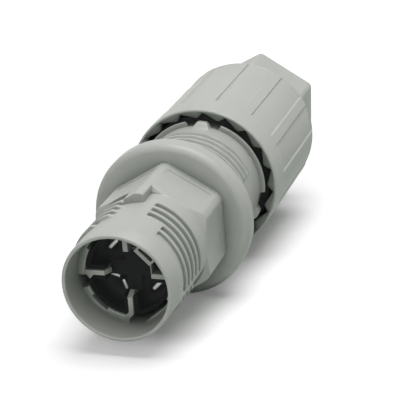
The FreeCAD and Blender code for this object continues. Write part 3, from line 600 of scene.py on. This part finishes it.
def arcLine(radius, start, end, step=2.5):
    # points on a circle between two angles, about a step apart and at least three
    a = np.radians(np.linspace(start, end, max(3, int(abs(end - start) / step) + 1)))
    return np.stack([radius * np.cos(a), radius * np.sin(a)], 1)


def turnedOutline(points, angle):
    # an outline turned about the origin: x cos a - z sin a, x sin a + z cos a
    a = np.radians(angle)
    return np.asarray(points) @ np.array([[np.cos(a), np.sin(a)], [-np.sin(a), np.cos(a)]])


def turnedPoints(radial, station, aside, angle):
    # points given by a radial, an axial and a sideways place, turned about the axis in the same way
    flat = turnedOutline(np.stack([radial, aside], 1), angle)
    return np.stack([flat[:, 0], station, flat[:, 1]], 1)


def bar(x0, x1, z0, z1, angle=0):
    # a rectangle between two pairs of lines, turned about the origin
    return turnedOutline([(x0, z0), (x1, z0), (x1, z1), (x0, z1)], angle)


def ringPart(w, start, end):
    # the notched ring between two angles: out along the collar's bore, back along the stepped inner line
    inner = []
    for quarter in range(-1, 5):
        middle, half = 45 + 90 * quarter, w["notchSpan"] / 2
        for radius, low, high in ((w["notch"], middle - half, middle + half),
                                  (w["bore"], middle + half, middle + 90 - half)):
            low, high = max(low, start), min(high, end)
            if high - low > w["shortArc"]:
                inner.append(arcLine(radius, low, high))
    return np.concatenate([arcLine(w["outer"], start, end), np.concatenate(inner)[::-1]])


def wallOutlines(w):
    # seen from the front: three radial walls, the left one with a pip, the three-sided key across a quarter,
    # the lower wall, which bends along the slant slot, and the ring in two parts between the slots
    half, reach = w["thickness"] / 2, w["bore"] + w["overlap"]
    right, upper = (bar(w["end"], reach, -half, half, angle) for angle in (0, 90))
    at, wide, tall = w["pip"]
    left = turnedOutline([(w["end"], -half), (reach, -half), (reach, half), (at + wide / 2, half),
                          (at, half + tall), (at - wide / 2, half), (w["end"], half)], 180)
    near, thick, low, high = w["key"]
    side, out = w["keySide"], w["notch"] + w["overlap"]
    key = turnedOutline([(near, low), (out, low), (out, low + side), (near + thick, low + side),
                         (near + thick, high - side), (out, high - side), (out, high), (near, high)], 45)
    slot, slant = w["slantSlot"][1], half * 2 ** 0.5
    inside = slot + w["thickness"]
    bend = turnedOutline([(inside - slant, inside), (w["bendReach"][0], inside), (w["bendReach"][1], slot),
                          (slot + slant, slot)], 45)
    lower = np.concatenate([[(half, -w["end"]), (-half, -w["end"])], bend])
    sideLow, sideHigh = (180 - np.degrees(np.arcsin(v / w["slotRadius"])) for v in w["sideSlot"])
    slantLow, slantHigh = (225 - np.degrees(np.arcsin(v / w["slotRadius"])) for v in w["slantSlot"])
    rings = [ringPart(w, slantLow - 360, sideHigh), ringPart(w, sideLow, slantHigh)]
    return [right, upper, left, key, lower] + rings


def keyWebs(w):
    # two thin bars that join the key to the right and the upper wall
    near, far, end = w["web"]
    root = w["thickness"] / 2 - w["webRoot"]
    return [bar(near, far, root, end), bar(root, end, near, far)]


def slopedEnds(w):
    # an outline in radius and station, carried across the left and the lower wall's inner end
    front, half = w["front"], w["thickness"] / 2 - w["tipInset"]
    inner, root = w["end"] - w["tipReach"], w["end"] + w["tipRoot"]
    start, slope, end = front + w["tipStart"], front + w["tipSlope"], front + w["tipEnd"]
    tip = [(w["end"], start), (inner, slope), (inner, end), (root, end), (root, start)]
    p, f = carryOutline(tip, -half, half, w["tipEase"], w["tipEase"])
    faces = [face[::-1] for face in f]
    return [(turnedPoints(p[:, 0], p[:, 1], p[:, 2], angle), faces) for angle in (180, 270)]


def buildWalls(w):
    # every outline carried from front to rear, each a hair further back than the one before, so that no two
    # faces share a plane; the webs start further back
    outlines, webs = wallOutlines(w), keyWebs(w)
    starts = [w["front"] + step * w["frontStep"] for step in range(len(outlines))]
    starts += [w["front"] + back for back in w["webBack"]]
    parts = []
    for step, (outline, start) in enumerate(zip(outlines + webs, starts)):
        p, f = carryOutline(outline, start, w["rear"] + step * w["rearStep"], w["ease"])
        parts.append((p[:, [0, 2, 1]], f))
    points, faces = joinParts(parts + slopedEnds(w))
    return addPiece("housing_walls", points, faces, "housing", grey, nodes=["housing"])


buildWalls(walls)


# contacts with eased edges

contacts = {
    "angles": {"line": 135.0, "earth": 225.0, "neutral": 315.0},
    "radius": 4.3, "thickness": 0.46, "ease": 0.12,
    "tip": -18.3, "tipTaper": 0.45, "width": 2.8,
    "earthTip": -17.0, "wingRear": -13.9, "wingOverlap": 0.2, "wingThickness": 0.36, "wingGap": 0.36,
    "wingLength": 1.45, "wingBend": 27.0,
    "forkBase": 12.65, "forkEnd": 20.6, "forkWidth": 4.6, "forkSlot": 0.9, "forkSlotLength": 5.5,
    "forkPoint": 0.8,
}


def contactStrip(c, tip, angle):
    # half the strip's outline across and along it, mirrored, then carried through the thickness and turned
    half, fork, slot, point = c["width"] / 2, c["forkWidth"] / 2, c["forkSlot"] / 2, c["forkPoint"]
    base, end, taper = c["forkBase"], c["forkEnd"], c["tipTaper"]
    side = np.array([(half - taper, tip), (half, tip + taper), (half, base),
                     (fork, base), (fork, end - point), (fork - point, end),
                     (slot + point / 2, end), (slot, end - point), (slot, end - c["forkSlotLength"])])
    outline = np.concatenate([side, side[::-1] * (-1, 1)])
    low, high = c["radius"] - c["thickness"] / 2, c["radius"] + c["thickness"] / 2
    p, f = carryOutline(outline, low, high, c["ease"], c["ease"])
    return turnedPoints(p[:, 2], p[:, 1], p[:, 0], angle), f


def earthWing(c, side, angle):
    # a bar that starts beside the gap and leans outwards by the bend, carried along the axis
    half = c["wingThickness"] / 2
    wing = turnedOutline(bar(-half, half, 0, side * c["wingLength"]), -side * c["wingBend"])
    wing = turnedOutline(wing + np.array([c["radius"], side * c["wingGap"]]), angle)
    p, f = carryOutline(wing, c["earthTip"], c["wingRear"] + c["wingOverlap"], c["ease"])
    return p[:, [0, 2, 1]], f


def buildContacts(c):
    # one strip for each contact; the earth strip starts further back, between its two wings
    for name, angle in c["angles"].items():
        parts = [contactStrip(c, c["wingRear"] if name == "earth" else c["tip"], angle)]
        if name == "earth":
            parts += [earthWing(c, side, angle) for side in (-1, 1)]
        points, faces = joinParts(parts)
        addPiece("contact_strip_" + name, points, faces, "housing", metal,
                 nodes=["contact_" + name])


buildContacts(contacts)


# black filling of the cells round the key wall

keyFilling = {
    "front": -21.25, "rear": -20.0, "near": 3.55, "radius": 7.3, "arc": (1, 89), "inset": 0.1, "ease": 0.05,
}


def buildKeyFilling(k):
    # a quarter slab inside the arc, cut off by a chord at the near distance from the axis
    near, inset = k["near"] * 2 ** 0.5, k["inset"]
    chord = [(inset, near - inset), (near - inset, inset)]
    outline = np.concatenate([arcLine(k["radius"], *k["arc"]), chord])
    p, f = carryOutline(outline, k["front"], k["rear"], k["ease"])
    return addPiece("key_filling", p[:, [0, 2, 1]], f, "housing", insert)


buildKeyFilling(keyFilling)


# cable nut: ribbed barrel, wrench end and toothed mouth as one closed shell

nut = {
    "front": 13.6, "frontRounding": 0.22, "radius": 12.0, "barrelEnd": 37.7, "hexFront": 41.7, "end": 49.2,
    "shoulderBlend": 0.25, "shoulderDrop": 2.0, "dropBlend": 0.3,
    "hexFlats": 18.0, "hexAngle": 27.5, "hexTrim": 10.24, "hexRounding": 0.12, "hexBlend": 0.2,
    "endChamfer": 0.45,
    "panels": 12, "panelSpan": 22.0, "panelDepth": 0.22, "panelFront": 18.6,
    "panelSideEase": (0.35, 0.15), "panelFrontEase": 0.12, "panelEndEase": (0.1, 0.3),
    "teeth": 19, "toothColumns": 36, "toothAngle": -7.4, "toothTip": 10.45, "toothRoot": 11.3,
    "toothLength": 1.6, "toothSteps": (0, 0.62, 0.76, 1),       # long flank, tip and short flank of a pitch
    "mouthSlope": 0.45, "lipWidth": 0.16, "lipEase": 0.06, "lipStep": 0.05,
    "cavityEnd": 23.0, "bore": 9.4, "coneFront": 38.6, "coneEnd": 44.8, "coneEndRadius": 6.4,
    "cableHole": 5.6, "holeEase": (0.1, 0.35),
}


def nutRadius(n, y, angle):
    # barrel and shoulder cone less the twelve shallow panels, joined to the hexagon, with both ends rounded
    slope = (n["radius"] - n["hexTrim"]) / (n["hexFront"] - n["barrelEnd"])
    cone = softMin(n["radius"], n["radius"] - (y - n["barrelEnd"]) * slope, n["shoulderBlend"])
    cone = softMin(cone, n["hexTrim"] - (y - n["hexFront"]) * n["shoulderDrop"], n["dropBlend"])
    pitch, half = 360 / n["panels"], n["panelSpan"] / 2
    off = np.abs((angle - n["hexAngle"]) % pitch - pitch / 2)
    panel = 1 - easeStep(off, half - n["panelSideEase"][0], half + n["panelSideEase"][1])
    begun = easeStep(y, n["panelFront"] - n["panelFrontEase"], n["panelFront"] + n["panelFrontEase"])
    ended = easeStep(y, n["barrelEnd"] - n["panelEndEase"][0], n["barrelEnd"] + n["panelEndEase"][1])
    barrel = cone - n["panelDepth"] * panel * (begun * (1 - ended))
    wrench = hexRadius(angle, n["hexFlats"], n["hexAngle"], n["hexTrim"], n["hexRounding"])
    r = np.where(y < n["barrelEnd"], barrel, softMax(barrel, wrench, n["hexBlend"]))
    return r - edgeRound(y, n["front"], n["frontRounding"]) - edgeRound(-y, -n["end"], n["endChamfer"])


def nutRows(n):
    # stations from the mouth to the cable end, close together where the radius turns; the steps set no size
    front, panel, barrelEnd, hexFront = n["front"], n["panelFront"], n["barrelEnd"], n["hexFront"]
    return np.concatenate([
        quarterRows(front, n["frontRounding"], 7),
        [front + 1, front + 3],
        np.linspace(panel - 0.15, panel + 0.15, 7),
        np.linspace(panel + 1, barrelEnd - 1, 6),
        np.linspace(barrelEnd - 0.4, barrelEnd + 0.4, 9),
        np.linspace(barrelEnd + 1, hexFront - 0.3, 5),
        np.linspace(hexFront - 0.15, hexFront + 1.5, 14),
        np.linspace(hexFront + 2, n["end"] - n["endChamfer"] - 0.1, 4),
        rowsUpTo(n["end"], n["endChamfer"], 7)])


def nutBore(n):
    # radius and station of the inside, from the cable hole over the clamp's cone to the tooth roots
    hole, end, root = n["cableHole"], n["end"], n["toothRoot"]
    small, large = n["holeEase"]
    mouth = n["front"] + n["toothLength"]
    return np.array([
        (hole + large, end), (hole + small, end - small), (hole, end - large), (hole, n["coneEnd"]),
        (n["coneEndRadius"], n["coneEnd"]), (n["bore"], n["coneFront"]), (n["bore"], n["cavityEnd"]),
        (root, n["cavityEnd"]), (root, mouth + 2), (root, mouth)])


def buildNut(n):
    # a meridian carried round the axis; in the mouth the radius runs through the teeth, once for each pitch,
    # and slopes out to a thin lip
    columns = n["teeth"] * n["toothColumns"]
    angle = ringAngles(columns)
    out, bore = nutRows(n), nutBore(n)
    step = (n["toothAngle"] - angle) * n["teeth"] / 360 % 1
    teeth = np.interp(step, n["toothSteps"], (n["toothRoot"], n["toothTip"], n["toothTip"], n["toothRoot"]))
    lip = n["radius"] - n["frontRounding"] - n["lipWidth"] + 0 * angle
    front, ease = n["front"], n["lipEase"]
    dip = front + n["mouthSlope"]
    mouth = [
        (teeth, front + n["toothLength"]), (teeth, dip + ease), (teeth + ease, dip),
        (lip, front + n["lipStep"]), (lip + ease, front)]
    radius = [nutRadius(n, out[:, None], angle), bore[:, :1] + 0 * angle] + [r for r, _ in mouth]
    station = np.concatenate([out, bore[:, 1], [y for _, y in mouth]])[:, None]
    points = polarPoints(np.concatenate(radius), station, angle)
    return addPiece("nut_shell", points, gridFaces(len(station), columns), "nut", grey,
                    nodes=["union_nut"])


buildNut(nut)


# panel seal

panelRing = {"centre": 10.925, "station": -0.35, "radius": 0.70, "columns": 180, "section": 24, "sharp": 60}


def buildPanelRing(p):
    # torus: a circle of the ring's section carried round the axis
    t = np.linspace(0, 2 * np.pi, p["section"], endpoint=False)[:, None]
    points = polarPoints(p["centre"] + p["radius"] * np.cos(t), p["station"] + p["radius"] * np.sin(t),
                         ringAngles(p["columns"]))
    return addPiece("panel_ring", points, gridFaces(p["section"], p["columns"]), "housing",
                    rubber, p["sharp"], nodes=["panel_seal"])


buildPanelRing(panelRing)


# floor, light and camera: lengths in metres

studio = {
    "camera": (0.0768, -0.2104, 0.0923), "cameraAim": (0.001813, 0.007753, -0.00145), "cameraRoll": -4.4,
    "lens": 140.95, "sensor": 36.0, "clip": (0.01, 20.0),
    "floorTilt": 4.0, "floorDrop": 0.0124, "floorHalf": 3.0, "floorCells": 12,
    # the floor's colour as seen and as it lights the part, and its glow, which fades up to white
    "floorColour": (0.95, 0.95, 0.95, 1), "floorBounce": (0.50, 0.54, 0.505, 1),
    "floorGlow": 0.34, "floorFade": (0.10, 0.26),
    # painted shadow under the part: the glow there, its middle in x and y, and how far it fades out each way
    "shadowGlow": 0.12, "underSpot": (0.002, 0.010), "shadowFade": ((0.004, 0.011), (0.026, 0.034)),
    "worldLight": 0.01,
    "lampTarget": (0.0, 0.01, 0.0),
    "keyPower": 3.0, "keySpot": (0.09, 0.03, 0.585), "keySize": 0.55,
    "fillPower": 2.15, "fillSpot": (0.08, -0.60, 0.25), "fillSize": 1.0,
}


def aim(position, target, up):
    # a frame whose -Z looks from position to target
    back = (Vector(position) - Vector(target)).normalized()
    right = Vector(up).cross(back).normalized()
    spin = Matrix((right, back.cross(right), back)).transposed().to_4x4()
    return Matrix.Translation(position) @ spin


def paperFinish(s):
    # white paper that glows for camera, mirror and transmission rays only: least under the part, a painted
    # shadow, fading up to white further out; as a matt surface it also takes the real shadow
    paper = Shade(bpy.data.materials.new("paperFloor"))
    seen = paper.ray("Camera")
    reach = paper.node("ShaderNodeVectorMath", {"operation": "LENGTH"}, {0: paper.place()}, "Value")
    level = s["floorGlow"] + paper.ramp(reach, *s["floorFade"]) * (1 - s["floorGlow"])
    # painted shadow: the glow dips lower under the part
    paintedShadowDip = s["shadowGlow"] - s["floorGlow"]
    for axis, spot, fade in zip("XY", s["underSpot"], s["shadowFade"]):
        paintedShadowDip = (1 - paper.ramp(abs(paper.along(axis) - spot), *fade)) * paintedShadowDip
    shown = (seen + paper.ray("Glossy") + paper.ray("Transmission")) * (level + paintedShadowDip)
    glow = paper.node("ShaderNodeEmission", {}, {"Color": (1, 1, 1, 1), "Strength": shown})
    tone = paper.mix(seen, s["floorBounce"], s["floorColour"])
    sheet = paper.node("ShaderNodeBsdfDiffuse", {}, {"Color": tone})
    both = paper.node("ShaderNodeAddShader", {}, {0: glow, 1: sheet})
    paper.node("ShaderNodeOutputMaterial", {}, {"Surface": both})
    return paper.owner


def buildFloor(s):
    # a square grid below the axis, tilted about X
    tilt = np.radians(s["floorTilt"])
    up = Vector((0, np.sin(tilt), np.cos(tilt)))
    across = up.orthogonal().normalized()
    along = up.cross(across)
    steps = np.linspace(-s["floorHalf"], s["floorHalf"], s["floorCells"] + 1)
    u, v = (grid[..., None] for grid in np.meshgrid(steps, steps, indexing="ij"))
    points = u * np.array(across) + v * np.array(along) - s["floorDrop"] * np.array(up)
    mesh = bpy.data.meshes.new("floor")
    mesh.from_pydata(points.reshape(-1, 3).tolist(), [], gridFaces(len(steps), len(steps), False, False))
    mesh.materials.append(paperFinish(s))
    floor = bpy.data.objects.new("floor", mesh)
    bpy.context.scene.collection.objects.link(floor)


def buildWorld(s):
    # white for camera and mirror rays, and a faint light for all others
    world = bpy.data.worlds.new("studioWorld")
    bpy.context.scene.world = world
    sky = Shade(world)
    seen = sky.ray("Camera")
    shown = seen.calc("MAXIMUM", seen, sky.ray("Glossy"))
    strength = shown * (1 - s["worldLight"]) + s["worldLight"]
    background = sky.node("ShaderNodeBackground", {}, {"Color": (1, 1, 1, 1), "Strength": strength})
    sky.node("ShaderNodeOutputWorld", {}, {"Surface": background})


def buildLamps(s):
    # two round softboxes aimed at the part: the key above it and the fill in front
    for name in ("key", "fill"):
        lamp = bpy.data.lights.new(name + "Softbox", "AREA")
        lamp.shape = "DISK"
        lamp.size = s[name + "Size"]
        lamp.energy = s[name + "Power"]
        box = bpy.data.objects.new(name + "Softbox", lamp)
        box.matrix_world = aim(s[name + "Spot"], s["lampTarget"], (0, 1, 0))
        bpy.context.scene.collection.objects.link(box)


def buildCamera(s):
    # the photo's viewpoint: aimed with Z up, then rolled about its own axis
    lens = bpy.data.cameras.new("camera")
    lens.lens, lens.sensor_width = s["lens"], s["sensor"]
    lens.clip_start, lens.clip_end = s["clip"]
    camera = bpy.data.objects.new("camera", lens)
    roll = Matrix.Rotation(np.radians(s["cameraRoll"]), 4, "Z")
    camera.matrix_world = aim(s["camera"], s["cameraAim"], (0, 0, 1)) @ roll
    bpy.context.scene.collection.objects.link(camera)
    bpy.context.scene.camera = camera


buildFloor(studio)
buildWorld(studio)
buildLamps(studio)
buildCamera(studio)
bpy.context.scene.view_settings.view_transform = "Standard"
print("studio ready")
